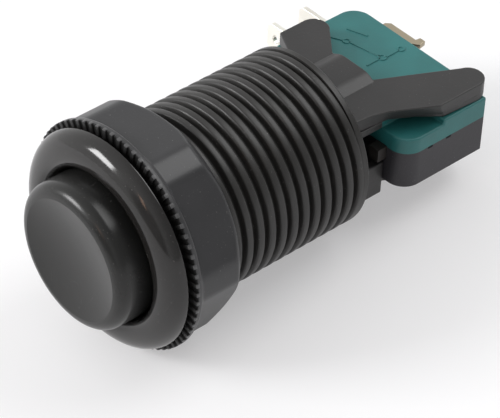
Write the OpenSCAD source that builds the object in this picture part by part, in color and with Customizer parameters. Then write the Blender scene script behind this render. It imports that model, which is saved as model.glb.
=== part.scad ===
// Panel-mount arcade push button lying on its side: plunger toward -Y, barrel and
// snap-action switch toward +Y, switch cover up (+Z). Millimetres.
// Origin: centre of the bezel's underside, the face that bears on the panel.

/* [Bezel] */
// Radius of the bezel at its widest
bezel_r = 16.67; // [15.5:0.01:18]
// Height of the bezel's rounded top above the panel
bezel_h = 2.9; // [2:0.1:4.5]
// Radius of the circle along the top of the bezel
bezel_top_r = 13.4; // [12.8:0.1:14.5]
// Radius of the bore that guides the plunger
bore_r = 11.6; // [10.8:0.05:12]

/* [Barrel] */
// Outer radius of the thread
thread_r = 13.95; // [13:0.05:14.2]
// Depth of the thread
thread_depth = 0.9; // [0.5:0.05:1.1]
// Distance from one thread ridge to the next
thread_pitch = 2.1; // [1.5:0.05:3]
// Number of thread ridges
thread_count = 16; // [8:1:16]
// Position of the last thread ridge
thread_last_y = 33.75; // [30:0.05:34]
// Rear end of the barrel
barrel_end = 36.1; // [34.5:0.1:38]
// Thickness of the wall that closes the rear of the barrel
rear_wall = 2.6; // [1.5:0.1:4]

/* [Fork] */
// Half width of the fork across its two arms
arm_x = 13.7; // [12:0.05:15]
// Top of the upper plate
plate_top = 7.1; // [6:0.05:8]
// Thickness of the upper plate
plate_thick = 2.3; // [1.5:0.05:3]
// Thickness of the lower plate
lower_thick = 2.15; // [1.2:0.05:2.5]
// Rear tip of the short left arm
left_tip_y = 50.5; // [48:0.1:54]
// Rear tip of the long right arm
right_tip_y = 60; // [55:0.1:62]
// Radius of the rounded arm tips
tip_r = 2.3; // [1.5:0.05:2.8]
// Edge of the plate between the two arms
crotch_y = 46.2; // [44:0.1:48]
// Height of the raised middle band
band_h = 0.8; // [0.3:0.05:1.2]

/* [Nut] */
// Half of the distance across the six flats
nut_flat = 15.75; // [15.2:0.05:17]
// Radius of the nut's corners
nut_corner_r = 17.2; // [16.5:0.05:18]
// Radius of the toothed flange
flange_r = 17.5; // [17:0.05:19]
// Front end of the teeth
nut_front = 0.7; // [0.5:0.05:1]
// Rear end of the nut
nut_rear = 10.1; // [8:0.1:12]
// Number of teeth on the flange
teeth = 72; // [24:6:90]

/* [Plunger] */
// Radius of the part of the plunger that is pressed
cap_r = 11.2; // [10:0.05:11.4]
// How far the plunger stands out from the panel
cap_h = 7.35; // [6:0.05:10]
// Depth of the dish in the plunger's face
dish = 1.2; // [0.5:0.1:2]
// How far the plunger moves
travel = 3.0; // [2:0.1:3.2]

/* [Spring] */
// Mean radius of the return spring
coil_r = 5.6; // [5.4:0.05:6]
// Radius of the spring wire
wire_r = 0.45; // [0.3:0.05:0.5]
// Turns of the return spring
coil_turns = 8; // [6:1:10]

/* [Switch] */
// Half length of the switch body
sw_x = 13.9; // [13.5:0.05:14]
// Front face of the switch body
sw_y0 = 43.05; // [42.8:0.05:43.5]
// Height of the switch body from front to rear
sw_depth = 16.1; // [15.5:0.02:16.2]
// Underside of the switch body
sw_z0 = -5.55; // [-5.6:0.05:-5]
// Joint between base and cover
seam_z = 0.65; // [0:0.05:2]
// Top of the cover
sw_z1 = 4.75; // [4:0.05:4.78]
// Wall thickness of the switch body
sw_wall = 1.3; // [0.8:0.1:1.6]
// Radius of the two large corners
big_corner = 3.1; // [2:0.1:4]
// Radius of the two fixing holes
hole_r = 1.55; // [1.4:0.05:1.8]
// Distance of the fixing holes from the middle
hole_x = 11.1; // [10.5:0.05:11.4]
// Middle of the switch button
button_x = 9.1; // [6:0.1:9.5]

/* [Terminals] */
// Width of the two end terminals
tab_w = 4.75; // [4:0.05:6.3]
// Thickness of the terminals
tab_t = 0.8; // [0.5:0.05:0.9]
// Length of the end terminals outside the body
tab_len = 7.9; // [5:0.1:9]
// Length of the common terminal outside the body
common_len = 5.7; // [5:0.05:8]
// Plane of the normally closed terminal
nc_y = 49; // [48.8:0.1:49.4]
// Plane of the normally open terminal
no_y = 55.4; // [55.2:0.1:55.8]

/* [Hidden] */
$fn = 64;

// overlap that joins two shapes
eps = 0.1;
// clearance of a sliding or fixed fit, and of a moving part that isn't guided
fit = 0.08;
free = 0.3;

// thread
root_r = thread_r - thread_depth;
ridge_top = 0.32;
ridge_foot = 0.75;
collar_y = 34.95;
rim_chamfer = 0.3;
bore_end = barrel_end - rear_wall;

// fork: bands of height and the plan's corners
plate_low = plate_top - plate_thick;
lower_top = sw_z0 - 0.05;
lower_low = lower_top - lower_thick;
neck_left = 9.8;
neck_right = 8.7;
flare_y = 41.5;
shoulder_left_y = 43.4;
shoulder_right_y = 49.7;
flank_start = [10.05, 43.1];
flank_turn = atan2(shoulder_right_y - flank_start[1], arm_x - flank_start[0]);
root_x = 9.9;
root_y = 42.75;
upper_root_low = 3.7;
lower_root_top = -2.1;
lower_neck = 8.3;
lower_flare_y = 44.6;
lower_arm_x = 11.9;
band_left = -5;
band_right = 3.6;
peg_r = hole_r - 0.1;
peg_len = 3.2;
front_hole_y = sw_y0 + 2.8;
rear_hole_y = front_hole_y + 10.3;

// legs of the plunger and the slots for them in the rear wall
tip_y = 41.4;
leg_in = 7.9;
leg_out = 9.5;
leg_low = -1.8;
leg_high = 0.2;
hook_out = 10.9;
hook_catch = 1.1;
hook_y = barrel_end + 0.06;
hook_len = 1.6;
button_travel = 0.8;
press_end = tip_y - travel + button_travel;
skirt_end = 14;
seat_y = 12;
seat_r = 6.7;
spigot_r = 4.7;
spigot_y = 16;
guide_y = 30.5;

// nut
nut_root = thread_r + 0.2;
nut_crest = root_r + 0.25;
nut_turn = 3.4;
flange_y = 1.1;
flange_back = 2.36;
corner_end = 8.5;
tooth_w = 0.75;
tooth_in = 15.4;

// inside of the switch
sw_y1 = sw_y0 + sw_depth;
in_x = sw_x - sw_wall;
in_y0 = sw_y0 + sw_wall;
in_y1 = sw_y1 - sw_wall;
in_z0 = sw_z0 + sw_wall;
in_z1 = 2.3;
mid_z = (sw_z0 + sw_z1)/2;
seam_notches = [48.1, 51.8];
ledge_x = 8.6;
ledge_y = 50.6;
ledge_z = 3.25;
rebate_x = 12;
rebate_z = 4.1;
boss_r = hole_r + 1;
button_w = 1.9;
button_h = 2.2;
blade_y = 52.1;
button_in = blade_y - button_travel;
blade_t = 0.3;
blade_h = 4.4;
blade_left = -10.4;
pivot_x = 11.6;
contact_x = -9.3;
contact_r = 1.3;
contact_t = 0.55;
closed_face = blade_y - 0.8;
open_face = blade_y + blade_t + 1.6;
inner_t = 0.7;
rear_bar_y = 56.75;
bracket_y = 52.9;
roll_r = 0.25;
pivot_y = blade_y + blade_t/2 + roll_r + 0.06;
post_y = 49.4;
shank_r = 0.55;
tab_hole_r = 0.75;

// lays an upright part along the barrel, local +Z to +Y
module lay(y = 0) {
    translate([0, y, 0])
        rotate([-90, 0, 0])
            children();
}

// a box between two corners
module span(low, high) {
    translate(low)
        cube(high - low);
}

// point on an ellipse, by its middle, half axes and angle
function oval(middle, half, a) = [middle[0] + half[0]*cos(a), middle[1] + half[1]*sin(a)];

// plan of the switch body: two large and two small rounded corners
module body_plan(inset = 0) {
    small = 0.25;
    x1 = sw_x - inset;
    y0 = sw_y0 + inset;
    y1 = sw_y1 - inset;
    big = big_corner - inset;
    little = max(small - inset, 0.15);
    polygon([
        [-x1 + little, y0], [x1 - big, y0], [x1, y0 + big], [x1, y1 - little],
        [x1 - little, y1], [-x1 + big, y1], [-x1, y1 - big], [-x1, y0 + little]]);
    translate([x1 - big, y0 + big])
        circle(big);
    translate([-x1 + big, y1 - big])
        circle(big);
    translate([x1 - little, y1 - little])
        circle(little);
    translate([-x1 + little, y0 + little])
        circle(little);
}

// the two fixing holes, as a child repeated at both places
module at_holes() {
    for (p = [[-hole_x, front_hole_y], [hole_x, rear_hole_y]])
        translate([p[0], p[1], 0])
            children();
}

// section of the bezel and the barrel with its thread ridges
module barrel_section() {
    outer = [for (a = [0:12:90]) oval([bezel_top_r, 0], [bezel_r - bezel_top_r, bezel_h], a)];
    inner = [for (a = [105:15:180]) oval([bezel_top_r, 0], [bezel_top_r - bore_r, bezel_h], a)];
    ridges = [for (i = [thread_count - 1:-1:0])
        let (y = thread_last_y - i*thread_pitch)
        each [[root_r, -y + ridge_foot], [thread_r, -y + ridge_top],
            [thread_r, -y - ridge_top], [root_r, -y - ridge_foot]]];
    polygon(concat(outer, inner,
        [[bore_r, -bore_end], [0, -bore_end], [0, -barrel_end],
        [thread_r - rim_chamfer, -barrel_end], [thread_r, -barrel_end + rim_chamfer],
        [thread_r, -collar_y], [root_r, -collar_y]],
        [for (i = [len(ridges) - 1:-1:0]) ridges[i]],
        [[root_r, 0]]));
}

// corners of the two arms, from the left one round to the right one
function arm_corners(out) = [
    [-out, left_tip_y - tip_r], [-out + 2*tip_r - 0.7, left_tip_y - 0.7],
    [band_left - 0.3, crotch_y], [band_right - 0.6, crotch_y],
    [out - 2*tip_r - 0.15, right_tip_y - tip_r], [out, right_tip_y - tip_r],
    [out, shoulder_right_y]];

// rounded tips of the two arms
module arm_tips(out) {
    translate([-out + tip_r, left_tip_y - tip_r])
        circle(tip_r);
    translate([out - tip_r, right_tip_y - tip_r])
        circle(tip_r);
}

// plan of the upper plate, which is wider on the left of its neck
module upper_plan() {
    polygon(concat(
        [[-neck_left, bore_end + 1], [-neck_left, flare_y], [-arm_x, shoulder_left_y]],
        arm_corners(arm_x),
        [flank_start, [neck_right + 0.5, flare_y - 1], [neck_right, bore_end + 1]]));
    arm_tips(arm_x);
}

// plan of the lower plate, narrow where the switch body covers it
module lower_plan() {
    polygon(concat(
        [[-root_x, bore_end + 1], [-root_x, root_y], [-lower_neck, root_y],
            [-lower_neck, lower_flare_y], [-lower_arm_x, lower_flare_y + 2]],
        arm_corners(lower_arm_x),
        [[lower_neck, lower_flare_y], [lower_neck, root_y], [root_x, root_y],
            [root_x, bore_end + 1]]));
    arm_tips(lower_arm_x);
}

// upper plate, pegs that enter the switch, and the solid root behind the barrel
module upper_arm() {
    translate([0, 0, plate_low])
        linear_extrude(plate_thick)
            upper_plan();
    translate([0, 0, plate_low - peg_len])
        at_holes()
            cylinder(r = peg_r, h = peg_len + eps);
    span([-root_x, bore_end + 1, upper_root_low], [neck_right + 0.5, root_y, plate_low + eps]);
    arm_lip();
}

// lip along the outer edge of the long arm, which keeps the switch from sliding out
module arm_lip() {
    translate([0, 0, rebate_z + 0.05])
        linear_extrude(plate_low - rebate_z)
            intersection() {
                upper_plan();
                translate([rebate_x + fit, ledge_y + fit])
                    square([arm_x, right_tip_y]);
            }
}

// lower plate with a low wall on each side of the space for the plunger's legs
module lower_arm() {
    translate([0, 0, lower_low])
        linear_extrude(lower_thick)
            lower_plan();
    for (side = [[-root_x, -root_x + 1.3], [root_x - 1.3, root_x]])
        span([side[0], bore_end + 1, lower_low], [side[1], root_y, lower_root_top]);
}

// raised band with sloping sides down the middle of the upper plate
module middle_band() {
    slope = 1.6;
    translate([0, crotch_y, plate_top - eps])
        rotate([90, 0, 0])
            linear_extrude(crotch_y - bore_end - 1)
                polygon([[band_left, 0], [band_right, 0], [band_right, eps],
                    [band_right - slope, band_h + eps], [band_left + slope, band_h + eps],
                    [band_left, eps]]);
}

module housing() {
    color("#2b2b2d")
        difference() {
            union() {
                rotate([90, 0, 0])
                    rotate_extrude()
                        barrel_section();
                lay(guide_y)
                    cylinder(r = spigot_r, h = bore_end - guide_y + eps);
                upper_arm();
                lower_arm();
                middle_band();
            }
            leg_slot();
            mirror([1, 0, 0])
                leg_slot();
            flank_pocket();
        }
}

// way through the rear wall for a leg, with room for the leg to bend
module leg_slot() {
    span([leg_in - hook_catch - 0.2, bore_end - eps, leg_low - free],
        [hook_out - hook_catch, barrel_end + eps, leg_high + free]);
}

// undercut along the right flank of the upper plate
module flank_pocket() {
    translate([flank_start[0], flank_start[1], 0])
        rotate([0, 0, flank_turn])
            span([0.5, -0.5, plate_low - eps], [7, 1, plate_top - 1]);
}

// ridge of the nut that stands between two ridges of the barrel
module nut_section() {
    first = thread_last_y - (thread_count - 1)*thread_pitch + thread_pitch/2;
    tip = 0.1;
    foot = 0.42;
    ridges = [for (i = [0:2])
        let (y = first + i*thread_pitch)
        each [[nut_root, y - foot], [nut_crest, y - tip], [nut_crest, y + tip], [nut_root, y + foot]]];
    polygon(concat([[nut_root, flange_y]], ridges,
        [[nut_root, nut_rear], [nut_flat - 0.1, nut_rear], [nut_corner_r, corner_end],
        [flange_r, flange_back], [flange_r, flange_y]]));
}

module mounting_nut() {
    color("#343437")
        lay()
            rotate([0, 0, -nut_turn]) {
                difference() {
                    rotate_extrude()
                        nut_section();
                    flat_cuts();
                }
                crown();
            }
}

// all that lies outside the six flats, behind the cone of the flange
module flat_cuts() {
    difference() {
        translate([0, 0, flange_back])
            cylinder(r = flange_r + 1, h = nut_rear);
        translate([0, 0, flange_back - eps])
            cylinder(r = nut_flat/cos(30), h = nut_rear + 1, $fn = 6);
        translate([0, 0, flange_back - eps])
            cylinder(r1 = flange_r + 0.2, r2 = 15, h = 1.2 + eps);
    }
}

// ring of small radial teeth on the flange
module crown() {
    intersection() {
        translate([0, 0, nut_front])
            difference() {
                cylinder(r = flange_r, h = flange_y - nut_front + eps);
                translate([0, 0, -1])
                    cylinder(r = tooth_in, h = 3);
            }
        for (i = [0:teeth - 1])
            rotate([0, 0, i*360/teeth])
                translate([tooth_in - 1, -tooth_w/2, nut_front - eps])
                    cube([4, tooth_w, 2]);
    }
}

// section of the plunger: dished cap, guiding skirt, spring seat and spigot
module plunger_section() {
    round_r = 1.9;
    flat_y = cap_h - dish;
    edge = cap_r - round_r;
    skirt_r = bore_r - fit;
    face = [for (i = [0:6]) [edge*i/6, flat_y + dish*pow(i/6, 2)]];
    rim = [for (a = [75:-15:0]) oval([edge, cap_h - round_r], [round_r, round_r], a)];
    polygon(concat(face, rim,
        [[cap_r, -1.2], [skirt_r, -1.5], [skirt_r, -skirt_end], [skirt_r - 2.4, -skirt_end],
        [skirt_r - 2.4, -1], [seat_r, 0], [seat_r, -seat_y], [spigot_r, -seat_y],
        [spigot_r, -spigot_y], [0, -spigot_y]]));
}

// leg with a hook that catches behind the rear wall of the barrel
module leg(end_y) {
    start = skirt_end - 6;
    span([leg_in, start, leg_low], [leg_out, end_y, leg_high]);
    translate([0, 0, leg_low])
        linear_extrude(leg_high - leg_low)
            polygon([[leg_out - eps, hook_y], [hook_out, hook_y], [hook_out, hook_y + 0.4],
                [leg_out - eps, hook_y + hook_len]]);
}

module plunger() {
    color("#1f1f21") {
        rotate([90, 0, 0])
            rotate_extrude()
                plunger_section();
        leg(press_end);
        mirror([1, 0, 0])
            leg(press_end - 1);
    }
}

// one swept wire with flat closed ends, seated between the plunger and the rear wall
module return_spring() {
    steps = 16;
    sides = 8;
    low = seat_y + wire_r + 0.02;
    high = bore_end - wire_r - 0.02;
    total = steps*coil_turns;
    rise = [for (i = [0:total]) let (u = i/total) low + (high - low)*(3*u*u - 2*u*u*u)];
    rings = [for (i = [0:total], k = [0:sides - 1])
        let (a = 360*i/steps, b = 360*k/sides, r = coil_r + wire_r*cos(b))
        [r*cos(a), rise[i] + wire_r*sin(b), r*sin(a)]];
    walls = [for (i = [0:total - 1], k = [0:sides - 1])
        let (n = (k + 1)%sides)
        [i*sides + k, (i + 1)*sides + k, (i + 1)*sides + n, i*sides + n]];
    first = [for (k = [0:sides - 1]) k];
    last = [for (k = [sides - 1:-1:0]) total*sides + k];
    color("#b8bcc0")
        polyhedron(points = rings, faces = concat(walls, [first], [last]));
}

// base with its side walls, the bosses round the fixing holes and two seam notches
module switch_base() {
    color("#3a3a3c")
        difference() {
            union() {
                difference() {
                    translate([0, 0, sw_z0])
                        linear_extrude(seam_z - sw_z0)
                            body_plan();
                    translate([0, 0, in_z0])
                        linear_extrude(seam_z - in_z0 + eps)
                            body_plan(sw_wall);
                }
                intersection() {
                    translate([0, 0, sw_z0])
                        linear_extrude(seam_z - sw_z0)
                            body_plan(0.2);
                    translate([0, 0, sw_z0])
                        at_holes()
                            cylinder(r = boss_r, h = seam_z - sw_z0);
                }
            }
            translate([0, 0, sw_z0 - eps])
                at_holes()
                    cylinder(r = hole_r, h = seam_z - sw_z0 + 2*eps);
            passages(fit);
            for (y = seam_notches)
                span([sw_x - 0.5, y - 0.5, seam_z - 0.35], [sw_x + eps, y + 0.5, seam_z + eps]);
        }
}

// openings of the body for the button and the three terminals
module passages(slot) {
    span([button_x - button_w/2 - slot, sw_y0 - eps, mid_z - button_h/2 - slot],
        [button_x + button_w/2 + slot, in_y0 + eps, mid_z + button_h/2 + slot]);
    for (y = [nc_y, no_y])
        span([-sw_x - eps, y - inner_t/2 - slot, mid_z - tab_w/2 + 0.2 - slot],
            [-in_x + eps, y + inner_t/2 + slot, mid_z + tab_w/2 - 0.2 + slot]);
    span([-11 - slot, in_y1 - eps, mid_z - inner_t/2 - slot],
        [-6.5 + slot, sw_y1 + eps, mid_z + inner_t/2 + slot]);
}

// cover with a lower ledge at its front right corner and a rebate for the arm's lip
module switch_cover() {
    color("#1f7f78")
        difference() {
            translate([0, 0, seam_z])
                linear_extrude(sw_z1 - seam_z)
                    body_plan();
            difference() {
                translate([0, 0, seam_z - eps])
                    linear_extrude(in_z1 - seam_z + eps)
                        body_plan(sw_wall);
                translate([0, 0, seam_z - eps])
                    at_holes()
                        cylinder(r = boss_r, h = in_z1);
            }
            translate([0, 0, seam_z - eps])
                at_holes()
                    cylinder(r = hole_r, h = sw_z1 - seam_z + 2*eps);
            passages(fit);
            span([ledge_x, sw_y0 - eps, ledge_z], [sw_x + eps, ledge_y, sw_z1 + eps]);
            span([rebate_x, ledge_y - eps, rebate_z], [sw_x + eps, sw_y1 + eps, sw_z1 + eps]);
        }
}

// button through the front wall, with a flange that keeps it in
module switch_button() {
    color("#7a2a20") {
        span([button_x - button_w/2, tip_y, mid_z - button_h/2],
            [button_x + button_w/2, button_in, mid_z + button_h/2]);
        span([button_x - button_w/2 - 0.7, in_y0 + 0.05, mid_z - button_h/2],
            [button_x + button_w/2 + 0.7, in_y0 + 0.9, mid_z + button_h/2]);
    }
}

// flat end terminal with a cropped tip and a hole
module end_tab(y) {
    crop = 0.8;
    x0 = -sw_x - tab_len;
    half = tab_w/2;
    translate([0, y + tab_t/2, mid_z])
        rotate([90, 0, 0])
            linear_extrude(tab_t)
                difference() {
                    polygon([[-sw_x - 0.05, -half], [-sw_x - 0.05, half], [x0 + crop, half],
                        [x0, half - crop], [x0, -half + crop], [x0 + crop, -half]]);
                    translate([x0 + 2, 0])
                        circle(tab_hole_r);
                }
}

// strip inside the body, from the end wall to the contact, with a step
module inner_arm(y, bent) {
    half = tab_w/2 - 0.2;
    t = inner_t/2;
    x1 = contact_x + 1.6;
    translate([0, 0, mid_z - half])
        linear_extrude(2*half)
            polygon([[-sw_x - 0.1, y - t], [-12.2, y - t], [-11.2, bent - t], [x1, bent - t],
                [x1, bent + t], [-11.4, bent + t], [-12.4, y + t], [-sw_x - 0.1, y + t]]);
}

module normally_closed_terminal() {
    color("#cfc6a0") {
        end_tab(nc_y);
        inner_arm(nc_y, closed_face - contact_t - inner_t/2 - 0.02);
    }
}

module normally_open_terminal() {
    color("#cfc6a0") {
        end_tab(no_y);
        inner_arm(no_y, open_face + contact_t + inner_t/2 + 0.02);
    }
}

// rear tab, bar along the rear wall, bracket under the blade and anchor post
module common_terminal() {
    half = 2.2;
    t = tab_t/2;
    y_end = sw_y1 + common_len;
    color("#d3b676") {
        translate([0, 0, mid_z - t])
            linear_extrude(tab_t)
                difference() {
                    polygon([[-12.3, sw_y1 + 0.05], [-6, sw_y1 + 0.05], [-6, y_end - 1.2],
                        [-4.9, y_end - 0.4], [-5.1, y_end + 0.85], [-6.2, y_end + 0.85],
                        [-6.3, y_end], [-11.6, y_end], [-12.3, y_end - 0.7]]);
                    translate([-9.15, y_end - 2.2])
                        circle(tab_hole_r);
                }
        span([-11, rear_bar_y, mid_z - inner_t/2], [-6.5, sw_y1 + 0.1, mid_z + inner_t/2]);
        translate([0, 0, mid_z - half])
            linear_extrude(2*half)
                polygon([[-9, rear_bar_y], [5.6, rear_bar_y], [5.6, bracket_y], [11.2, bracket_y],
                    [11.2, pivot_y], [12, pivot_y], [12, bracket_y + 0.5],
                    [6.4, bracket_y + 0.5], [6.4, rear_bar_y + inner_t], [-9, rear_bar_y + inner_t]]);
        span([4.4, post_y, mid_z - 0.9], [5.2, bracket_y + 0.5, mid_z + 0.9]);
        span([4.4, bracket_y, mid_z - 0.9], [6, bracket_y + 0.5, mid_z + 0.9]);
    }
}

// spring strip with a window in its middle for the anchor post and the curved spring
module moving_blade() {
    low = mid_z - blade_h/2;
    color("#c9874a")
        difference() {
            union() {
                span([blade_left, blade_y, low], [pivot_x, blade_y + blade_t, low + blade_h]);
                translate([pivot_x, blade_y + blade_t/2, low])
                    cylinder(r = roll_r, h = blade_h);
            }
            span([-3.4, blade_y - eps, mid_z - 1.3], [7.4, blade_y + blade_t + eps, mid_z + 1.3]);
            translate([contact_x, blade_y - eps, mid_z])
                rotate([-90, 0, 0])
                    cylinder(r = shank_r + 0.05, h = blade_t + 2*eps);
        }
}

// curved spring from the blade to the anchor post
module snap_spring() {
    thick = 0.22;
    middle = [0.4, 52.2];
    half = [3.95, 2.85];
    inner_half = [half[0] - thick, half[1] - thick];
    outside = [for (a = [184:7:345]) oval(middle, half, a)];
    inside = [for (a = [345:-7:184]) oval(middle, inner_half, a)];
    color("#c07a3e")
        translate([0, 0, mid_z - 0.8])
            linear_extrude(1.6)
                polygon(concat(outside, inside));
}

// round contact button whose axis is along the barrel
module contact(y, thick) {
    translate([contact_x, y, mid_z])
        rotate([-90, 0, 0])
            cylinder(r = contact_r, h = thick);
}

// rivet through the blade, with a head on both sides
module moving_contact() {
    color("#d9dcdf") {
        contact(blade_y - 0.75, 0.73);
        contact(blade_y + blade_t + 0.02, 0.73);
        translate([contact_x, blade_y - 0.3, mid_z])
            rotate([-90, 0, 0])
                cylinder(r = shank_r, h = blade_t + 0.6);
    }
}

module open_contact() {
    color("#d9dcdf")
        contact(open_face, contact_t);
}

module closed_contact() {
    color("#d9dcdf")
        contact(closed_face - contact_t, contact_t);
}

housing();
mounting_nut();
plunger();
return_spring();
switch_base();
switch_cover();
switch_button();
common_terminal();
normally_open_terminal();
normally_closed_terminal();
moving_blade();
snap_spring();
moving_contact();
open_contact();
closed_contact();
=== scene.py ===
import math
import bmesh
import bpy
from mathutils import Matrix, Vector


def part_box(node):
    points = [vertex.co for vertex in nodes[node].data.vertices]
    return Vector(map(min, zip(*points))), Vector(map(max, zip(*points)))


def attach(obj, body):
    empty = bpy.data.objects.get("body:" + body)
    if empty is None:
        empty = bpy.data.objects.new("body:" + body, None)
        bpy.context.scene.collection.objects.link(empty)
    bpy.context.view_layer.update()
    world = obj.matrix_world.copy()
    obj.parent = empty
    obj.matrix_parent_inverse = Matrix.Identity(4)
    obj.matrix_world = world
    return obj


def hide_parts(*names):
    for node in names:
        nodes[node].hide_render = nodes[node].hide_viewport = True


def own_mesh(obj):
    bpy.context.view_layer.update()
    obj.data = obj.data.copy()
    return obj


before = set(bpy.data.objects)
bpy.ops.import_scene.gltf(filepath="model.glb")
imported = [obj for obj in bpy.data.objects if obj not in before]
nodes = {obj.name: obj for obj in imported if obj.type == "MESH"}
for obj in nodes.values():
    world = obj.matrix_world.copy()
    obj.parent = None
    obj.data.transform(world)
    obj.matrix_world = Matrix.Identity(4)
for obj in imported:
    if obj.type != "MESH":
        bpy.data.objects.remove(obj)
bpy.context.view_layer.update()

# Sizes are in millimetres and angles in degrees. MM turns millimetres into metres.
# The barrel's axis is Y: the plunger points to -Y, the switch lies at +Y, and +Z is up.
MM = 0.001
X, Y, Z = range(3)


def low_end(node, axis):
    """Where a CAD node begins along an axis."""
    return round(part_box(node)[0][axis]/MM, 3)


def high_end(node, axis):
    """Where a CAD node ends along an axis."""
    return round(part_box(node)[1][axis]/MM, 3)


def new_object(name, data):
    obj = bpy.data.objects.new(name, data)
    bpy.context.scene.collection.objects.link(obj)
    return obj


# camera, fitted to the edges of the object in the photograph
CAMERA_PLACE = (226.9, -189.2, 256.8)
CAMERA_RIGHT = (0.6639, 0.7468, 0.0384)
CAMERA_BACK = (0.5530, -0.5249, 0.6471)
SENSOR_WIDTH = 36.0
FOCAL_LENGTH = 204.2
NEAREST = 20.0
FARTHEST = 20000.0


def make_camera():
    back = Vector(CAMERA_BACK).normalized()
    up = back.cross(Vector(CAMERA_RIGHT).normalized()).normalized()
    right = up.cross(back)
    data = bpy.data.cameras.new("camera")
    data.sensor_width = SENSOR_WIDTH
    data.lens = FOCAL_LENGTH
    data.clip_start = NEAREST*MM
    data.clip_end = FARTHEST*MM
    cam = new_object("camera", data)
    pose = Matrix((right, up, back)).transposed().to_4x4()
    pose.translation = Vector(CAMERA_PLACE)*MM
    cam.matrix_world = pose
    bpy.context.scene.camera = cam


# materials
# noise scales, in cells per metre
GRAIN_SCALE = 2200.0
PATCH_SCALE = 170.0
DUST_SCALE = 3800.0
# height of the grain
GRAIN_HEIGHT = 0.03
# levels of the wide noise between which the colour goes from its dark to its light shade
PATCH_FROM, PATCH_TO = 0.3, 0.7
# levels of the dust noise between which a speck fades in
DUST_FROM, DUST_TO = 0.72, 0.8
DUST_COLOR = (0.35, 0.34, 0.33, 1)
LEAST_ROUGHNESS = 0.02


def add_node(tree, kind, values, links, **settings):
    """Shader node with its settings, the values of its inputs and the outputs linked to its inputs."""
    node = tree.nodes.new(kind)
    for key, value in settings.items():
        setattr(node, key, value)
    for key, value in values.items():
        node.inputs[key].default_value = value
    for key, output in links.items():
        tree.links.new(output, node.inputs[key])
    return node


def surface(name, color, rough, grain=0.0, metallic=0.0, rough_var=0.04, ior=1.5, mottle=0.08, dust=0.0):
    """Principled material with grain in colour and height, uneven gloss and a little dust."""
    mat = bpy.data.materials.new(name)
    mat.use_nodes = True
    tree = mat.node_tree
    bsdf = tree.nodes["Principled BSDF"]
    bsdf.inputs["Metallic"].default_value = metallic
    bsdf.inputs["IOR"].default_value = ior
    coord = tree.nodes.new("ShaderNodeTexCoord")

    def noise(scale, detail):
        values = {"Scale": scale, "Detail": detail}
        node = add_node(tree, "ShaderNodeTexNoise", values, {"Vector": coord.outputs["Object"]})
        return node.outputs["Fac"]

    patches = noise(PATCH_SCALE, 3.0)
    shades = add_node(tree, "ShaderNodeValToRGB", {}, {"Fac": patches})
    dark, light = shades.color_ramp.elements
    dark.position = PATCH_FROM
    dark.color = (*[c*(1 - mottle) for c in color], 1)
    light.position = PATCH_TO
    light.color = (*[min(1.0, c*(1 + mottle)) for c in color], 1)
    tint = shades.outputs["Color"]
    if dust > 0:
        values = {"From Min": DUST_FROM, "From Max": DUST_TO, "To Max": dust}
        dusty = add_node(tree, "ShaderNodeMapRange", values, {"Value": noise(DUST_SCALE, 1.0)})
        links = {"Factor": dusty.outputs["Result"], "A": tint}
        mix = add_node(tree, "ShaderNodeMix", {"B": DUST_COLOR}, links, data_type="RGBA")
        tint = mix.outputs["Result"]
    tree.links.new(tint, bsdf.inputs["Base Color"])
    values = {"To Min": max(LEAST_ROUGHNESS, rough - rough_var), "To Max": rough + rough_var}
    gloss = add_node(tree, "ShaderNodeMapRange", values, {"Value": patches})
    tree.links.new(gloss.outputs["Result"], bsdf.inputs["Roughness"])
    if grain > 0:
        values = {"Strength": grain, "Distance": GRAIN_HEIGHT*MM}
        bump = add_node(tree, "ShaderNodeBump", values, {"Height": noise(GRAIN_SCALE, 3.0)})
        tree.links.new(bump.outputs["Normal"], bsdf.inputs["Normal"])
    return mat


# moulded plastic
bezel_mat = surface("bezel_gloss", (0.012, 0.011, 0.0105), 0.13, grain=0.04, rough_var=0.03, dust=0.25)
housing_mat = surface("housing_satin", (0.022, 0.021, 0.0212), 0.42, grain=0.6, mottle=0.12, dust=0.3)
# painted shade: the barrel is a darker copy of the housing's plastic, for the shade in the thread's grooves
thread_shade_mat = surface("thread_satin_painted_shade", (0.0145, 0.0135, 0.0125), 0.42, grain=0.25, dust=0.3)
# painted shade: the teeth and the ring between them are a darker copy of the nut's plastic, for the shadow
# behind the bezel
tooth_shade_mat = surface("teeth_shadow", (0.006, 0.006, 0.006), 0.55, grain=0.2)
# painted light: the tooth tips are a paler copy of the nut's plastic, for where light catches them
tooth_tip_light_mat = surface("tooth_tip_painted_light", (0.07, 0.07, 0.072), 0.4, grain=0.2)
nut_mat = surface("nut_satin", (0.026, 0.026, 0.028), 0.38, grain=0.3, dust=0.3)
plunger_mat = surface("plunger_gloss", (0.0125, 0.0125, 0.012), 0.26, grain=0.08, rough_var=0.03,
                      ior=1.42, dust=0.2)
base_mat = surface("base_matte", (0.028, 0.026, 0.031), 0.5, grain=0.6, mottle=0.12, dust=0.3)
cover_mat = surface("cover_blue_green", (0.02, 0.15, 0.148), 0.46, grain=0.6, mottle=0.1)
button_mat = surface("button_dark", (0.03, 0.026, 0.024), 0.4)

# metal
spring_mat = surface("spring_wire", (0.6, 0.6, 0.62), 0.3, metallic=1.0)
brass_mat = surface("brass_tab", (0.44, 0.38, 0.28), 0.36, grain=0.3, metallic=1.0)
plated_mat = surface("plated_tab", (0.95, 0.92, 0.84), 0.34, grain=0.3, metallic=1.0)
copper_mat = surface("copper_strip", (0.76, 0.45, 0.26), 0.3, metallic=1.0)
silver_mat = surface("silver_contact", (0.85, 0.85, 0.86), 0.2, metallic=1.0)

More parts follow.
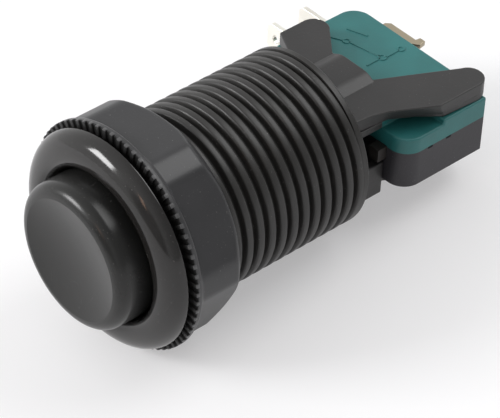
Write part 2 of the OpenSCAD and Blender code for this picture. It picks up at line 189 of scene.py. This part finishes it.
# materials of the CAD nodes that stay as they are
NODE_MATS = {
    "switch_button": button_mat,
    "moving_blade": copper_mat,
    "snap_spring": copper_mat,
    "moving_contact": silver_mat,
    "open_contact": silver_mat,
    "closed_contact": silver_mat,
}
for name, mat in NODE_MATS.items():
    nodes[name].data.materials.clear()
    nodes[name].data.materials.append(mat)


# pieces
# distances within which doubled corners are welded, in made meshes and in copies of CAD nodes
WELD = 0.0001
CAD_WELD = 0.002
# angle within which the facets of a copied CAD node count as flat
FLAT_WITHIN = 0.8
# least angle of the edges that are rounded on a copied CAD node
CAD_EDGE = 30.0


def add_piece(name, mesh, body, mat, sharp, even=True):
    """Smooth piece that keeps its edges over the sharp angle and rides on a body."""
    mesh.materials.clear()
    mesh.materials.append(mat)
    mesh.polygons.foreach_set("use_smooth", [True]*len(mesh.polygons))
    mesh.set_sharp_from_angle(angle=math.radians(sharp))
    obj = new_object(name, mesh)
    if even:
        normals = obj.modifiers.new("even", "WEIGHTED_NORMAL")
        normals.keep_sharp = True
    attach(obj, body)
    return obj


def as_mesh(bm, name):
    """Mesh made from a bmesh, which is freed."""
    mesh = bpy.data.meshes.new(name)
    bm.to_mesh(mesh)
    bm.free()
    return mesh


def take_in(bm, mesh):
    """Adds a mesh to a bmesh, and deletes the mesh."""
    bm.from_mesh(mesh)
    bpy.data.meshes.remove(mesh)


def grid_mesh(name, rows, close_rows):
    """Mesh from rows of points, each row closed into a ring, and the last row joined to the first."""
    count = len(rows[0])
    verts = [tuple(c*MM for c in p) for row in rows for p in row]
    faces = []
    for i in range(len(rows) if close_rows else len(rows) - 1):
        a = i*count
        b = ((i + 1) % len(rows))*count
        for k in range(count):
            n = (k + 1) % count
            faces.append((a + k, a + n, b + n, b + k))
    mesh = bpy.data.meshes.new(name)
    mesh.from_pydata(verts, [], faces)
    bm = bmesh.new()
    take_in(bm, mesh)
    bmesh.ops.remove_doubles(bm, verts=bm.verts, dist=WELD*MM)
    bmesh.ops.recalc_face_normals(bm, faces=bm.faces)
    return as_mesh(bm, name)


def all_turns(count):
    """Evenly spaced angles once round an axis, in radians."""
    return [math.tau*k/count for k in range(count)]


def around(radius, y, turn):
    """Point at a radius and a turn about the barrel's axis."""
    return (radius*math.cos(turn), y, radius*math.sin(turn))


def lathe(name, profile, count, close=True):
    """Turns (radius, y) points about the barrel's axis."""
    turns = all_turns(count)
    return grid_mesh(name, [[around(r, y, t) for t in turns] for r, y in profile], close)


def arc(middle, across, along, start, end, steps):
    """Points of an ellipse from a start angle to an end angle."""
    angles = [math.radians(start + (end - start)*k/steps) for k in range(steps + 1)]
    return [(middle[0] + across*math.cos(a), middle[1] + along*math.sin(a)) for a in angles]


def rounded_tip(middle, radius, start, end, steps=10):
    return arc(middle, radius, radius, start, end, steps)


def rectangle(a0, a1, b0, b1):
    return [(a0, b0), (a1, b0), (a1, b1), (a0, b1)]


def flat(outline, low, high):
    """Outline of (x, y) corners at two heights."""
    return ([(x, y, low) for x, y in outline], [(x, y, high) for x, y in outline])


def box(x0, x1, y0, y1, z0, z1):
    return flat(rectangle(x0, x1, y0, y1), z0, z1)


def prism(bm, low, high):
    """Solid between two outlines with the same number of (x, y, z) corners."""
    a = [bm.verts.new(tuple(c*MM for c in p)) for p in low]
    b = [bm.verts.new(tuple(c*MM for c in p)) for p in high]
    bm.faces.new(list(reversed(a)))
    bm.faces.new(b)
    for k in range(len(a)):
        n = (k + 1) % len(a)
        bm.faces.new((a[k], a[n], b[n], b[k]))


def bevel_sharp(bm, width, segments=3, limit=18.0, edge_ok=None):
    """Rounds the edges over the limit angle whose middle passes edge_ok."""
    edges = []
    for e in bm.edges:
        if len(e.link_faces) == 2 and e.calc_face_angle(0.0) > math.radians(limit):
            if edge_ok is None or edge_ok((e.verts[0].co + e.verts[1].co)/2/MM):
                edges.append(e)
    bmesh.ops.bevel(bm, geom=edges, offset=width*MM, offset_type="OFFSET", segments=segments, profile=0.5,
                    affect="EDGES", clamp_overlap=False)


def solid_piece(name, shapes, width, body, mat):
    """One piece made of prisms, each with its edges rounded."""
    whole = bmesh.new()
    for low, high in shapes:
        bm = bmesh.new()
        prism(bm, low, high)
        bmesh.ops.recalc_face_normals(bm, faces=bm.faces)
        bevel_sharp(bm, width)
        take_in(whole, as_mesh(bm, "part"))
    return add_piece(name, as_mesh(whole, name), body, mat, sharp=40)


def welded_copy(node):
    """Bmesh of a CAD node with its doubled corners welded."""
    bm = bmesh.new()
    bm.from_mesh(nodes[node].data)
    bmesh.ops.remove_doubles(bm, verts=bm.verts, dist=CAD_WELD*MM)
    return bm


def softened(node, name, body, mat, width, keep=None, edge_ok=None):
    """Copy of a CAD node, or of its faces that pass keep, with the sharp edges rounded."""
    bm = welded_copy(node)
    if keep:
        gone = [f for f in bm.faces if not keep(f.calc_center_median()/MM)]
        bmesh.ops.delete(bm, geom=gone, context="FACES")
        bmesh.ops.holes_fill(bm, edges=[e for e in bm.edges if e.is_boundary])
    bmesh.ops.dissolve_limit(bm, angle_limit=math.radians(FLAT_WITHIN), verts=bm.verts, edges=bm.edges,
                             use_dissolve_boundaries=False)
    bevel_sharp(bm, width, limit=CAD_EDGE, edge_ok=edge_ok)
    return add_piece(name, as_mesh(bm, name), body, mat, sharp=40)


def ramp(value, start, width):
    """Goes from 0 at start to 1 at start + width."""
    return min(1.0, max(0.0, (value - start)/width))


# housing: threaded barrel
# radius of the thread, radius between its ridges, and inner radius of the skin that carries them
THREAD_R = 13.95
ROOT_R = 12.9
SKIN_R = 12.6
PITCH = 2.1
# the thread starts behind the bezel as rings and goes on behind the nut as a helix
THREAD_START = 1.4
LAST_RING = 33.75
HELIX_START = 9.9
HELIX_BLEND = 0.5
# place of a helix crest on the top side, a quarter of a turn from +X
HELIX_TOP = 34.04
# half width of a ridge at its foot, width of its flank, and what its crest loses towards the foot
RIDGE_FOOT = 0.9
RIDGE_FLANK = 0.45
RIDGE_CROWN = 0.15
# plain collar at the barrel's rear end, and its chamfer
COLLAR_START = 34.7
COLLAR_BLEND = 0.3
CHAMFER_START = 35.8
BARREL_END = 36.1
BARREL_SIDES = 240
# first place and spacing of the barrel's cross sections
SECTION_START = 0.7
SECTION_STEP = 0.1


def ridge(s):
    """Height of a rounded ridge, 0 to 1, at distance s from its middle."""
    u = ramp(RIDGE_FOOT - abs(s), 0.0, RIDGE_FLANK)
    return u*u*(3 - 2*u)*(1 - RIDGE_CROWN*(s/RIDGE_FOOT)**2)


def from_crest(y, crest):
    """Distance to the nearest of the crests that are a pitch apart."""
    return (y - crest + PITCH/2) % PITCH - PITCH/2


def barrel_radius(turn, y):
    mix = ramp(y, HELIX_START, HELIX_BLEND)
    wound = HELIX_TOP + PITCH*(0.25 - turn/math.tau)
    rise = ridge(from_crest(y, LAST_RING))*(1 - mix) + ridge(from_crest(y, wound))*mix
    if y < THREAD_START:
        rise = 0.0
    rise = max(rise, ramp(y, COLLAR_START, COLLAR_BLEND))
    return ROOT_R + (THREAD_R - ROOT_R)*rise - max(0.0, y - CHAMFER_START)


def make_barrel():
    turns = all_turns(BARREL_SIDES)
    steps = round((CHAMFER_START - SECTION_START)/SECTION_STEP)
    levels = [0.0] + [SECTION_START + SECTION_STEP*k for k in range(steps + 1)]
    levels += [CHAMFER_START + 0.05, CHAMFER_START + 0.2, BARREL_END]
    rows = [[around(barrel_radius(t, y), y, t) for t in turns] for y in levels]
    rows += [[around(SKIN_R, y, t) for t in turns] for y in (BARREL_END, 0.0)]
    mesh = grid_mesh("threaded_barrel", rows, True)
    piece = add_piece("threaded_barrel", mesh, "base", thread_shade_mat, sharp=60)
    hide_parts("housing")


# housing: bezel, bore and rear wall
# radius of the bezel, and how far it stands out from the panel
BEZEL_R = high_end("housing", X)
BEZEL_HEIGHT = 2.9
# radius of the circle along the bezel's top
BEZEL_TOP_R = 13.0
# the bore's rounded mouth and the bore behind it
MOUTH_R = 11.38
MOUTH_DEPTH = 1.2
BORE_R = 11.6
# faces of the rear wall
WALL_FRONT = 33.5
WALL_REAR = 35.0
# hollow boss that the return spring sits round
BOSS_R = 4.7
BOSS_HOLE_R = 3.0
BOSS_FRONT = 30.5
# plate that closes the barrel behind the rear wall
PLATE_FRONT = 35.3
PLATE_FRONT_R = 13.5
PLATE_REAR_R = 13.62
# ways through wall and plate for the plunger's legs, mirrored to the other side
SLOT_X = (6.6, 9.8)
SLOT_Y = (33.0, 37.0)
SLOT_Z = (-2.1, 0.5)


def cut_slots(mesh):
    """Copy of a mesh with the two ways for the plunger's legs cut through it."""
    bm = bmesh.new()
    for sign in (1, -1):
        outline = rectangle(sign*SLOT_X[0], sign*SLOT_X[1], *SLOT_Z)
        front, rear = [[(x, y, z) for x, z in outline] for y in SLOT_Y]
        prism(bm, front, rear)
    bmesh.ops.recalc_face_normals(bm, faces=bm.faces)
    tool = new_object("slot_tool", as_mesh(bm, "slot_tool"))
    body = new_object("slot_body", mesh)
    cut = body.modifiers.new("cut", "BOOLEAN")
    cut.operation = "DIFFERENCE"
    cut.solver = "EXACT"
    cut.object = tool
    bpy.context.view_layer.update()
    done = bpy.data.meshes.new_from_object(body.evaluated_get(bpy.context.evaluated_depsgraph_get()))
    done.name = mesh.name
    bpy.data.objects.remove(tool)
    bpy.data.objects.remove(body)
    return done


def make_bezel():
    profile = [(ROOT_R, 0.05), (BEZEL_R - 0.25, 0.0), (BEZEL_R - 0.07, -0.06)]
    profile += arc((BEZEL_TOP_R, 0.0), BEZEL_R - BEZEL_TOP_R, -BEZEL_HEIGHT, 3, 90, 29)
    middle = (BEZEL_TOP_R, -MOUTH_DEPTH)
    profile += arc(middle, BEZEL_TOP_R - MOUTH_R, MOUTH_DEPTH - BEZEL_HEIGHT, 93, 180, 29)
    profile += [(MOUTH_R, 0.5), (BORE_R, 0.75), (BORE_R, WALL_FRONT), (BOSS_R, WALL_FRONT)]
    profile += [(BOSS_R, BOSS_FRONT + 0.1), (BOSS_R - 0.1, BOSS_FRONT), (BOSS_HOLE_R, BOSS_FRONT)]
    profile += [(BOSS_HOLE_R, WALL_REAR), (ROOT_R, WALL_REAR)]
    mesh = cut_slots(lathe("bezel", profile, 200))
    add_piece("bezel", mesh, "base", bezel_mat, sharp=50)


# housing: fork that holds the switch
# half widths of the fork across its upper and its lower arms
ARM_X = 13.7
LOWER_ARM_X = 11.9
# rear tips of the short left arm and the long right one, and the radius of their corners
LEFT_TIP_Y = 50.5
RIGHT_TIP_Y = high_end("housing", Y)
TIP_R = 2.3
# edge of the plates between the two arms, and front end of the fork inside the barrel's collar
CROTCH_Y = 46.2
NECK_Y = 35.6
# underside and top of the upper plate and of the lower one
UPPER_Z = (4.8, 7.1)
LOWER_Z = (-7.75, -5.6)
# half width of the neck, its rear end in front of the switch, and the inner faces of its cheeks
NECK_X = 9.9
NECK_END_Y = 42.75
CHEEK_INNER_X = 8.6
# cross section of the raised middle band, as (x, z)
BAND = [(-5.6, 6.3), (4.26, 6.3), (4.26, 6.8), (2.5, 7.66), (1.9, 7.85),
        (1.2, 7.93), (-2.6, 7.93), (-3.3, 7.85), (-3.9, 7.66), (-5.6, 6.8)]
# inner edge of the lip under the right arm, where the lip starts, and its underside
LIP_X = 12.1
LIP_Y = 50.7
LIP_Z = 4.15
# pegs in the switch's two fixing holes
PEGS = [(-11.1, 45.85), (11.1, 56.15)]
PEG_R = 1.45
PEG_Z = (1.6, 5.0)
FORK_ROUNDING = 0.22


def arms(out):
    """Outline of the two arms from the right shoulder round to the left one."""
    right = rounded_tip((out - TIP_R, RIGHT_TIP_Y - TIP_R), TIP_R, 0, 165)
    left = rounded_tip((TIP_R - out, LEFT_TIP_Y - TIP_R), TIP_R, 40, 180)
    return right + [(3.0, CROTCH_Y), (-5.3, CROTCH_Y)] + left


def upper_plate():
    rest = arms(ARM_X) + [(-ARM_X, 43.4), (-9.8, 41.5), (-9.8, NECK_Y)]
    top = [(8.7, NECK_Y), (9.2, 40.5), (10.05, 43.1), (ARM_X, 49.7)] + rest
    under = [(8.7, NECK_Y), (9.0, 40.7), (9.3, 43.5), (13.3, LIP_Y)] + rest
    return ([(x, y, UPPER_Z[0]) for x, y in under], [(x, y, UPPER_Z[1]) for x, y in top])


def lower_plate():
    right = [(NECK_X, NECK_Y), (NECK_X, NECK_END_Y), (8.3, NECK_END_Y), (8.3, 44.6), (LOWER_ARM_X, 49.7)]
    left = [(-LOWER_ARM_X, 46.6), (-8.3, 44.6), (-8.3, NECK_END_Y), (-NECK_X, NECK_END_Y), (-NECK_X, NECK_Y)]
    return flat(right + arms(LOWER_ARM_X) + left, *LOWER_Z)


def right_lip():
    """The lip under the long arm, and the wedge that leads up to it."""
    tip = rounded_tip((ARM_X - TIP_R, RIGHT_TIP_Y - TIP_R), TIP_R, 0, 65, 6)
    lip = flat([(LIP_X, LIP_Y), (13.3, LIP_Y), (13.69, 57.0)] + tip + [(LIP_X, 59.7)], LIP_Z, 5.4)
    front, rear = 47.0, LIP_Y + 0.25
    low = [(10.6, front, 4.86), (11.3, front, 4.86), (13.3, rear, LIP_Z), (LIP_X, rear, LIP_Z)]
    high = [(10.6, front, 5.5), (11.5, front, 5.5), (13.38, rear, 5.5), (LIP_X, rear, 5.5)]
    return [lip, (low, high)]


def neck():
    """The solid under the upper plate, and the two cheeks beside the ways for the plunger's legs."""
    cheek = (NECK_Y, NECK_END_Y + 0.05, LOWER_Z[0] - 0.05, SLOT_Z[0])
    outer = NECK_X + 0.06
    return [
        box(-NECK_X, 9.2, NECK_Y, NECK_END_Y, 3.7, 4.9),
        box(CHEEK_INNER_X, outer, *cheek),
        box(-outer, -CHEEK_INNER_X, *cheek),
    ]


def make_fork():
    band = ([(x, CROTCH_Y, z) for x, z in BAND], [(x, NECK_Y, z) for x, z in BAND])
    pegs = [flat(rounded_tip(peg, PEG_R, 0, 360, 32)[:-1], *PEG_Z) for peg in PEGS]
    shapes = [upper_plate(), lower_plate(), band, *neck(), *right_lip(), *pegs]
    solid_piece("fork", shapes, FORK_ROUNDING, "base", housing_mat)


def make_rear_plate():
    """Plate that closes the barrel behind the rear wall."""
    profile = [(0.0, PLATE_FRONT), (PLATE_FRONT_R, PLATE_FRONT)]
    profile += [(PLATE_REAR_R, BARREL_END), (0.0, BARREL_END)]
    mesh = cut_slots(lathe("rear_wall", profile, 120, False))
    add_piece("rear_wall", mesh, "base", housing_mat, sharp=30)


# plunger
# radius and height of the cap, rounding of its edge, and depth of its dish
CAP_R = 11.2
CAP_HEIGHT = -low_end("plunger", Y)
CAP_ROUNDING = 1.9
DISH = 1.2
DISH_STEPS = 24
# skirt that the bore guides
SKIRT_R = high_end("plunger", X)
SKIRT_START = 1.5
SKIRT_END = 14.0
SKIRT_WALL = 2.4
# core whose end the return spring bears on, and the stem inside the spring
CORE_R = 6.7
CORE_END = 12.0
STEM_R = 4.7
STEM_END = 16.0
LEG_ROUNDING = 0.12


def make_plunger():
    edge = CAP_R - CAP_ROUNDING
    profile = []
    for k in range(DISH_STEPS + 1):
        u = k/DISH_STEPS
        profile.append((edge*u, DISH - CAP_HEIGHT - DISH*u*u))
    profile += arc((edge, CAP_ROUNDING - CAP_HEIGHT), CAP_ROUNDING, -CAP_ROUNDING, 78, 0, 26)
    profile += [(CAP_R, SKIRT_START - 0.3), (SKIRT_R, SKIRT_START), (SKIRT_R, SKIRT_END - 0.1)]
    inner = SKIRT_R - SKIRT_WALL
    profile += [(SKIRT_R - 0.1, SKIRT_END), (inner, SKIRT_END), (inner, 1.0), (CORE_R, 0.0)]
    profile += [(CORE_R, CORE_END), (STEM_R, CORE_END), (STEM_R, STEM_END - 0.1)]
    profile += [(STEM_R - 0.1, STEM_END), (0.0, STEM_END)]
    mesh = lathe("pressed_cap", profile, 160, False)
    piece = add_piece("pressed_cap", mesh, "plunger", plunger_mat, sharp=20)
    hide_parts("plunger")
    softened("plunger", "plunger_legs", "plunger", plunger_mat, LEG_ROUNDING,
             keep=lambda c: c.y > SKIRT_END + 0.02 and abs(c.x) > CORE_R + 0.3)


# nut: six flats with rounded corners, a toothed flange in front and a chamfered rear
# distance of the flats from the axis, and radii of the corners and the bore
NUT_FLAT = 15.75
NUT_CORNER_R = 17.2
NUT_BORE_R = 14.15
NUT_REAR = high_end("mounting_nut", Y)
# rounding of the corners between the flats, and of the edges that cut them
CORNER_BLEND = 0.35
EDGE_BLEND = 0.3
# where the chamfer starts on the corners, and where it gets steeper
REAR_CHAMFER_Y = 8.5
REAR_EDGE_Y = 9.8
FLANGE_R = 17.45
FLANGE_INNER_R = 15.2
FLANGE_FRONT = 1.0
# where the flange's rim ends, and where it drops to the flats
FLANGE_RIM_Y = 1.5
FLANGE_REAR_Y = 1.75
# turn of the flats and teeth about the barrel
NUT_TURN = 3.4
NUT_SIDES = 360
TEETH = 72
# radii of a tooth's body, painted dark as shade, and of its tip, painted paler as the light that catches it
TOOTH_SHADED_BODY = (15.6, 17.3)
TOOTH_LIT_TIP = (17.25, FLANGE_R)
# a tooth's front and rear places, each with half its width there
TOOTH_ENDS = [(low_end("mounting_nut", Y), 0.3), (1.3, 0.38)]
TOOTH_ROUNDING = 0.06
# section of the thin ring between the teeth, painted dark as the shade there, as (radius, y)
PAINTED_SHADE_RING = [(15.25, 0.97), (17.28, 0.97), (17.36, 1.04), (17.3, 1.2), (15.25, 1.2)]


def soft_least(a, b, width):
    """The smaller of two values, rounded where they meet."""
    h = max(0.0, min(1.0, 0.5 + 0.5*(b - a)/width))
    return b*(1 - h) + a*h - width*h*(1 - h)


def nut_radius(turn, y):
    step = math.radians(60)
    local = (turn - math.radians(NUT_TURN)) % step - step/2
    hexagon = soft_least(NUT_FLAT/math.cos(local), NUT_FLAT/math.cos(step - abs(local)), CORNER_BLEND)
    cone = NUT_CORNER_R + REAR_CHAMFER_Y - y
    body = soft_least(soft_least(hexagon, NUT_CORNER_R, EDGE_BLEND), cone, EDGE_BLEND)
    body -= max(0.0, y - REAR_EDGE_Y)/2
    flange = FLANGE_R - 0.12*ramp(y, FLANGE_RIM_Y, FLANGE_REAR_Y - FLANGE_RIM_Y)
    drop = ramp(y, FLANGE_REAR_Y, 0.35)
    return flange*(1 - drop) + body*drop


def make_nut():
    turns = all_turns(NUT_SIDES)
    levels = [FLANGE_FRONT, FLANGE_FRONT + 0.1, FLANGE_RIM_Y, FLANGE_RIM_Y + 0.12]
    levels += [FLANGE_REAR_Y + 0.1*k for k in range(5)]
    levels += [2.4 + 0.25*k for k in range(30)]
    levels += [NUT_REAR - 0.25, NUT_REAR - 0.15, NUT_REAR - 0.05]
    bore = [(NUT_BORE_R + 1.15, NUT_REAR), (NUT_BORE_R + 0.15, NUT_REAR),
            (NUT_BORE_R, NUT_REAR - 0.2), (NUT_BORE_R, FLANGE_FRONT + 0.2)]
    rows = [[around(FLANGE_INNER_R, FLANGE_FRONT, t) for t in turns]]
    rows += [[around(nut_radius(t, y), y, t) for t in turns] for y in levels]
    rows += [[around(r, y, t) for t in turns] for r, y in bore]
    mesh = grid_mesh("ring_nut", rows, True)
    piece = add_piece("ring_nut", mesh, "nut", nut_mat, sharp=60)
    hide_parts("mounting_nut")
    mesh = lathe("flange_front_painted_shade", PAINTED_SHADE_RING, 180)
    add_piece("flange_front_painted_shade", mesh, "nut", tooth_shade_mat, sharp=30)
    make_teeth("nut_teeth_painted_shade", TOOTH_SHADED_BODY, tooth_shade_mat)
    make_teeth("tooth_tips_painted_light", TOOTH_LIT_TIP, tooth_tip_light_mat)


def make_teeth(name, radii, mat):
    """Ring of radial teeth that widen toward the rear."""
    bm = bmesh.new()
    for turn in all_turns(TEETH):
        out = Vector(around(1.0, 0.0, turn + math.radians(NUT_TURN)))
        across = Vector((-out.z, 0.0, out.x))
        front, rear = [
            [out*r + across*side + Vector((0.0, y, 0.0)) for r, side in rectangle(*radii, -half, half)]
            for y, half in TOOTH_ENDS
        ]
        prism(bm, front, rear)
    bmesh.ops.recalc_face_normals(bm, faces=bm.faces)
    bevel_sharp(bm, TOOTH_ROUNDING, segments=2)
    add_piece(name, as_mesh(bm, name), "nut", mat, sharp=40)


# switch
COVER_ROUNDING = 0.3
BASE_ROUNDING = 0.2
TAB_ROUNDING = 0.08
# heights over which the cover's edges are rounded, and under which the base's are
COVER_EDGES_Z = 3.0
BASE_EDGES_Z = -4.5


def make_switch():
    piece = softened("switch_cover", "green_cover", "base", cover_mat, COVER_ROUNDING,
                     edge_ok=lambda c: c.z > COVER_EDGES_Z)
    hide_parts("switch_cover")
    piece = softened("switch_base", "grey_base", "base", base_mat, BASE_ROUNDING,
                     edge_ok=lambda c: c.z < BASE_EDGES_Z)
    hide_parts("switch_base")
    for node, slot, mat in (("common_terminal", "terminal_brass", brass_mat),
                            ("normally_open_terminal", "terminal_plated", plated_mat),
                            ("normally_closed_terminal", "terminal_plated", plated_mat)):
        piece = softened(node, node + "_tab", "base", mat, TAB_ROUNDING)
        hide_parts(node)


# plain line pattern on the cover: straight strokes from (x, y) to (x, y), and rings as (x, y, radius)
COVER_TOP = high_end("switch_cover", Z)
STROKES = [
    ((-11.4, 50.1), (-8.7, 51.5)),
    ((-7.6, 52.0), (-2.5, 53.05)),
    ((-1.6, 53.8), (-1.65, 56.2)),
    ((-1.95, 52.6), (-1.9, 50.2)),
    ((-10.2, 54.0), (-7.2, 55.1)),
]
RINGS = [(-8.15, 51.85, 0.5), (-1.9, 53.2, 0.58), (-1.7, 56.8, 0.5)]
LINE_WIDTH = 0.38
# height of a line's foot, just inside the cover, and of its crest
LINE_Z = (COVER_TOP - 0.02, COVER_TOP + 0.13)
# shares of its width and of its reach past the ends that a stroke still has at its crest
STROKE_CREST = 0.55
STROKE_CREST_END = 0.6
RING_CREST = 0.56
RING_SIDES = 24


def bar(start, end, tip, side, z):
    """Corners of a bar at one height, which reaches past its ends by tip and is two sides wide."""
    corners = [start - tip - side, end + tip - side, end + tip + side, start - tip + side]
    return [(p.x, p.y, z) for p in corners]


def stroke(start, end):
    start, end = Vector(start), Vector(end)
    tip = (end - start).normalized()*LINE_WIDTH/2
    side = Vector((-tip.y, tip.x))
    low = bar(start, end, tip, side, LINE_Z[0])
    return low, bar(start, end, tip*STROKE_CREST_END, side*STROKE_CREST, LINE_Z[1])


def ring_rows(x, y, radius):
    foot = LINE_WIDTH/2
    crest = foot*RING_CREST
    section = [(-foot, LINE_Z[0]), (-crest, LINE_Z[1]), (crest, LINE_Z[1]), (foot, LINE_Z[0])]
    return [[(x + (radius + out)*math.cos(t), y + (radius + out)*math.sin(t), z)
             for t in all_turns(RING_SIDES)] for out, z in section]


def make_lines():
    bm = bmesh.new()
    for start, end in STROKES:
        prism(bm, *stroke(start, end))
    bmesh.ops.recalc_face_normals(bm, faces=bm.faces)
    for ring in RINGS:
        take_in(bm, grid_mesh("ring", ring_rows(*ring), True))
    add_piece("cover_lines", as_mesh(bm, "cover_lines"), "base", cover_mat, sharp=60)


def make_spring():
    """Copy of the return spring with its doubled corners welded, on a mesh of its own."""
    mesh = as_mesh(welded_copy("return_spring"), "spring_coil")
    coil = add_piece("spring_coil", mesh, "base", spring_mat, sharp=50, even=False)
    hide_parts("return_spring")
    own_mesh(coil)


make_barrel()
make_bezel()
make_spring()
make_plunger()
make_fork()
make_rear_plate()
make_nut()
make_switch()
make_lines()


# stage: floor, world and lights, in metres and watts
# the plane that the part rests on, by its normal and its distance from the origin
FLOOR_NORMAL = (-0.0590, -0.1045, 0.9928)
FLOOR_PLACE = -0.01766
FLOOR_HALF = 3.0
# share of plain white in what the rays see of the floor
FLOOR_WHITE = 0.38
# the world is brightest toward the front left and darkens toward the upper right rear
BRIGHT_SIDE = (-0.72, -0.55, -0.42)
WORLD_DIM = 0.25
WORLD_BRIGHT = 1.03
# a dark patch in front of the plunger
DARK_SIDE = (0.25, -0.965, 0.07)
DARK_LEVEL = 0.15
# share of plain white that glossy rays see in the world
GLOSSY_WHITE = 0.25


def ray_share(tree, share, glossy):
    """Share for camera and transmission rays, and share*glossy for glossy rays."""
    path = tree.nodes.new("ShaderNodeLightPath").outputs
    links = {0: path["Is Glossy Ray"], 2: path["Is Camera Ray"]}
    seen = add_node(tree, "ShaderNodeMath", {1: glossy}, links, operation="MULTIPLY_ADD")
    links = {0: seen.outputs[0], 1: path["Is Transmission Ray"]}
    total = add_node(tree, "ShaderNodeMath", {}, links, operation="ADD", use_clamp=True)
    part = add_node(tree, "ShaderNodeMath", {1: share}, {0: total.outputs[0]}, operation="MULTIPLY")
    return part.outputs[0]


def make_floor():
    normal = Vector(FLOOR_NORMAL).normalized()
    across = normal.cross(Vector((0, 1, 0))).normalized()*FLOOR_HALF
    along = normal.cross(across).normalized()*FLOOR_HALF
    corners = [normal*FLOOR_PLACE + across*u + along*v for u, v in rectangle(-1, 1, -1, 1)]
    mesh = bpy.data.meshes.new("floor")
    mesh.from_pydata([tuple(c) for c in corners], [], [(0, 1, 2, 3)])
    mat = surface("floor_white", (0.92, 0.92, 0.93), 0.7, rough_var=0.02, mottle=0.0)
    mesh.materials.append(mat)
    tree = mat.node_tree
    glow = add_node(tree, "ShaderNodeEmission", {"Color": (1.0, 0.99, 1.0, 1)}, {})
    links = {"Fac": ray_share(tree, FLOOR_WHITE, 1.0), 1: tree.nodes["Principled BSDF"].outputs["BSDF"],
             2: glow.outputs["Emission"]}
    mix = add_node(tree, "ShaderNodeMixShader", {}, links)
    tree.links.new(mix.outputs["Shader"], tree.nodes["Material Output"].inputs["Surface"])
    floor = new_object("floor", mesh)


def make_world():
    """White studio, bright at the front left and dim at the upper right rear, with a dark patch in front."""
    world = bpy.data.worlds.new("world")
    bpy.context.scene.world = world
    world.use_nodes = True
    tree = world.node_tree
    coord = tree.nodes.new("ShaderNodeTexCoord")

    def fade(side, start, end, before, after):
        """Goes from before to after as a direction turns toward a side."""
        links = {0: coord.outputs["Generated"]}
        facing = add_node(tree, "ShaderNodeVectorMath", {1: side}, links, operation="DOT_PRODUCT")
        values = {"From Min": start, "From Max": end, "To Min": before, "To Max": after}
        links = {"Value": facing.outputs["Value"]}
        level = add_node(tree, "ShaderNodeMapRange", values, links, interpolation_type="SMOOTHSTEP")
        return level.outputs["Result"]

    links = {0: fade(BRIGHT_SIDE, -1.0, 0.5, WORLD_DIM, WORLD_BRIGHT),
             1: fade(DARK_SIDE, 0.84, 0.96, 1.0, DARK_LEVEL)}
    strength = add_node(tree, "ShaderNodeMath", {}, links, operation="MULTIPLY")
    studio = tree.nodes["Background"]
    studio.inputs["Color"].default_value = (1, 1, 1, 1)
    tree.links.new(strength.outputs[0], studio.inputs["Strength"])
    white = add_node(tree, "ShaderNodeBackground", {"Color": (1, 1, 1, 1), "Strength": 1.0}, {})
    links = {"Fac": ray_share(tree, 1.0, GLOSSY_WHITE), 1: studio.outputs["Background"],
             2: white.outputs["Background"]}
    mix = add_node(tree, "ShaderNodeMixShader", {}, links)
    tree.links.new(mix.outputs["Shader"], tree.nodes["World Output"].inputs["Surface"])


def area_light(name, place, target, size, power, color=(1, 1, 1)):
    data = bpy.data.lights.new(name, "AREA")
    data.shape = "RECTANGLE"
    data.size, data.size_y = size
    data.energy = power
    data.color = color
    light = new_object(name, data)
    light.location = place
    aim = Vector(target) - Vector(place)
    light.rotation_euler = aim.to_track_quat("-Z", "Y").to_euler()


make_camera()
make_floor()
make_world()
area_light("key", (-0.65, -0.82, 0.47), target=(0, 0.02, 0), size=(0.46, 0.34), power=8.0)
area_light("top", (0.22, 0.9, 1.25), target=(0, 0.03, 0), size=(1.0, 0.8), power=9.0)
area_light("warm", (0.17, -0.87, 0.5), target=(0, 0, 0), size=(0.1, 0.22), power=0.22, color=(1.0, 0.6, 0.4))
bpy.context.scene.view_settings.view_transform = "Standard"
